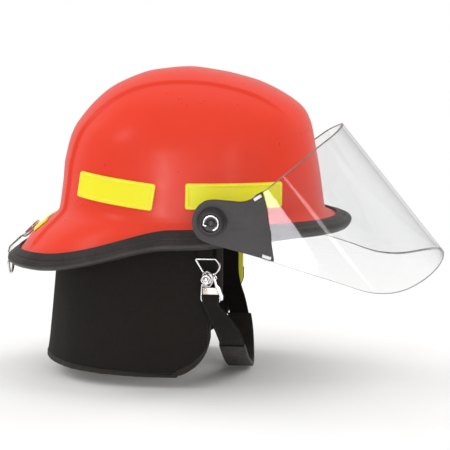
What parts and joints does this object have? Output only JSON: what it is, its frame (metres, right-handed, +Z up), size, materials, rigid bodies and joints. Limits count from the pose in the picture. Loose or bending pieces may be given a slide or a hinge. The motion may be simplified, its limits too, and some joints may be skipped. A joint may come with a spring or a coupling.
{
  "type": "firefighter helmet",
  "caption": "Firefighter helmet with a ridged shell, flared peak and rear brim, swinging clear face shield, head harness, neck curtain and chin strap.",
  "frame": {"origin": "on the crown axis at the height of the side brim, the centre of the head opening", "axes": "+X to the front of the helmet, +Z up, the wearer's right at -Y"},
  "size_m": [0.439, 0.2872, 0.3006],
  "materials": {
    "red_shell": "glossy moulded red",
    "black_rubber": "satin extruded rubber",
    "foam": "fine bead foam",
    "lime_reflective": "prismatic reflective sheet",
    "dark_plastic": "fine moulded texture",
    "clear_shield": "clear polished polycarbonate",
    "bright_steel": "bright plated steel",
    "black_cloth": "felted flame-resistant cloth",
    "yellow_lining": "soft woven lining",
    "webbing": "ribbed webbing",
    "black_leather": "soft grained leather",
    "inner_plastic": "smooth moulded"
  },
  "bodies": {
    "shell": {"anchor_rivet_left": "bright_steel", "anchor_rivet_right": "bright_steel", "brow_pad": "black_cloth", "chin_sleeve": "black_leather", "chin_strap": "webbing", "crown_pad": "black_cloth", "crown_strap_cross": "webbing", "crown_strap_long": "webbing", "ear_lap": "black_cloth", "ear_lap_lining": "yellow_lining", "edge_trim": "black_rubber", "friction_washer_left": "inner_plastic", "friction_washer_right": "inner_plastic", "headband": "inner_plastic", "headband_hanger_front_left": "inner_plastic", "headband_hanger_front_right": "inner_plastic", "headband_hanger_rear_left": "inner_plastic", "headband_hanger_rear_right": "inner_plastic", "impact_liner": "foam", "lap_hook_tape": "inner_plastic", "outer_shell": "red_shell", "pivot_block_left": "dark_plastic", "pivot_block_right": "dark_plastic", "pivot_stud_left": "bright_steel", "pivot_stud_right": "bright_steel", "ratchet_housing": "inner_plastic", "rear_hanger_plate": "bright_steel", "rear_rivet_left": "bright_steel", "rear_rivet_right": "bright_steel", "reflector_front_left": "lime_reflective", "reflector_front_right": "lime_reflective", "reflector_rear_brim": "lime_reflective", "reflector_rear_left": "lime_reflective", "reflector_rear_right": "lime_reflective", "ring_hanger": "webbing", "strap_anchor_left": "inner_plastic", "strap_anchor_right": "inner_plastic"},
    "visor": {"face_shield": "clear_shield", "visor_bracket_left": "dark_plastic", "visor_bracket_right": "dark_plastic", "shield_clip_lower_left": "clear_shield", "shield_clip_lower_right": "clear_shield", "shield_clip_upper_left": "clear_shield", "shield_clip_upper_right": "clear_shield"},
    "knob_left": {"tension_knob_left": "dark_plastic", "knob_insert_left": "bright_steel"},
    "knob_right": {"tension_knob_right": "dark_plastic", "knob_insert_right": "bright_steel"},
    "ratchet": {"ratchet_knob": "inner_plastic", "ratchet_pinion": "inner_plastic"},
    "rack_left": {"rack_tail_left": "inner_plastic"},
    "rack_right": {"rack_tail_right": "inner_plastic"},
    "strap_ring": {"strap_ring": "bright_steel"},
    "snap_hook": {"snap_hook": "bright_steel", "strap_loop": "bright_steel"},
    "hook_lever": {"hook_lever": "bright_steel"},
    "wire_loop": {"rear_wire_loop": "bright_steel"},
    "d_ring": {"rear_d_ring": "bright_steel"}
  },
  "joints": [
    {"name": "visor_raise", "type": "hinge", "parent": "shell", "child": "visor", "pos_m": [0.037, 0, 0.013], "axis": [0, -1, 0], "range_deg": [-33, 56]},
    {"name": "tension_knob_right_turn", "type": "hinge", "parent": "shell", "child": "knob_right", "pos_m": [0.037, -0.1382, 0.013], "axis": [0, -1, 0], "range_deg": [-30, 330]},
    {"name": "tension_knob_left_turn", "type": "hinge", "parent": "shell", "child": "knob_left", "pos_m": [0.037, 0.1382, 0.013], "axis": [0, 1, 0], "range_deg": [-30, 330]},
    {"name": "ratchet_turn", "type": "hinge", "parent": "shell", "child": "ratchet", "pos_m": [-0.1, 0, -0.01], "axis": [1, 0, 0], "range_deg": [-90, 90]},
    {"name": "rack_left_slide", "type": "slide", "parent": "shell", "child": "rack_left", "axis": [0, 1, 0], "range_m": [-0.008, 0.008]},
    {"name": "rack_right_slide", "type": "slide", "parent": "shell", "child": "rack_right", "axis": [0, 1, 0], "range_m": [-0.008, 0.008]},
    {"name": "strap_ring_swing", "type": "hinge", "parent": "shell", "child": "strap_ring", "pos_m": [0.027, -0.1046, -0.027], "axis": [-1, 0, 0], "range_deg": [0, 20]},
    {"name": "snap_hook_swing", "type": "hinge", "parent": "strap_ring", "child": "snap_hook", "pos_m": [0.029, -0.1046, -0.0408], "axis": [-1, 0, 0], "range_deg": [0, 8]},
    {"name": "hook_lever_press", "type": "hinge", "parent": "snap_hook", "child": "hook_lever", "pos_m": [0.0366, -0.105, -0.044], "axis": [0, 1, 0], "range_deg": [0, 12], "stiffness_Nm_per_rad": 0.02},
    {"name": "wire_loop_fold", "type": "hinge", "parent": "shell", "child": "wire_loop", "pos_m": [-0.16592, 0, -0.01824], "axis": [0, -1, 0], "range_deg": [0, 100]},
    {"name": "d_ring_swing", "type": "hinge", "parent": "shell", "child": "d_ring", "pos_m": [-0.1834, 0, -0.046], "axis": [0, 1, 0], "range_deg": [-30, 75]}
  ],
  "couplings": [
    {"joint": "rack_left_slide", "follows": "ratchet_turn", "m_per_rad": -0.005},
    {"joint": "rack_right_slide", "follows": "ratchet_turn", "m_per_rad": 0.005}
  ]
}
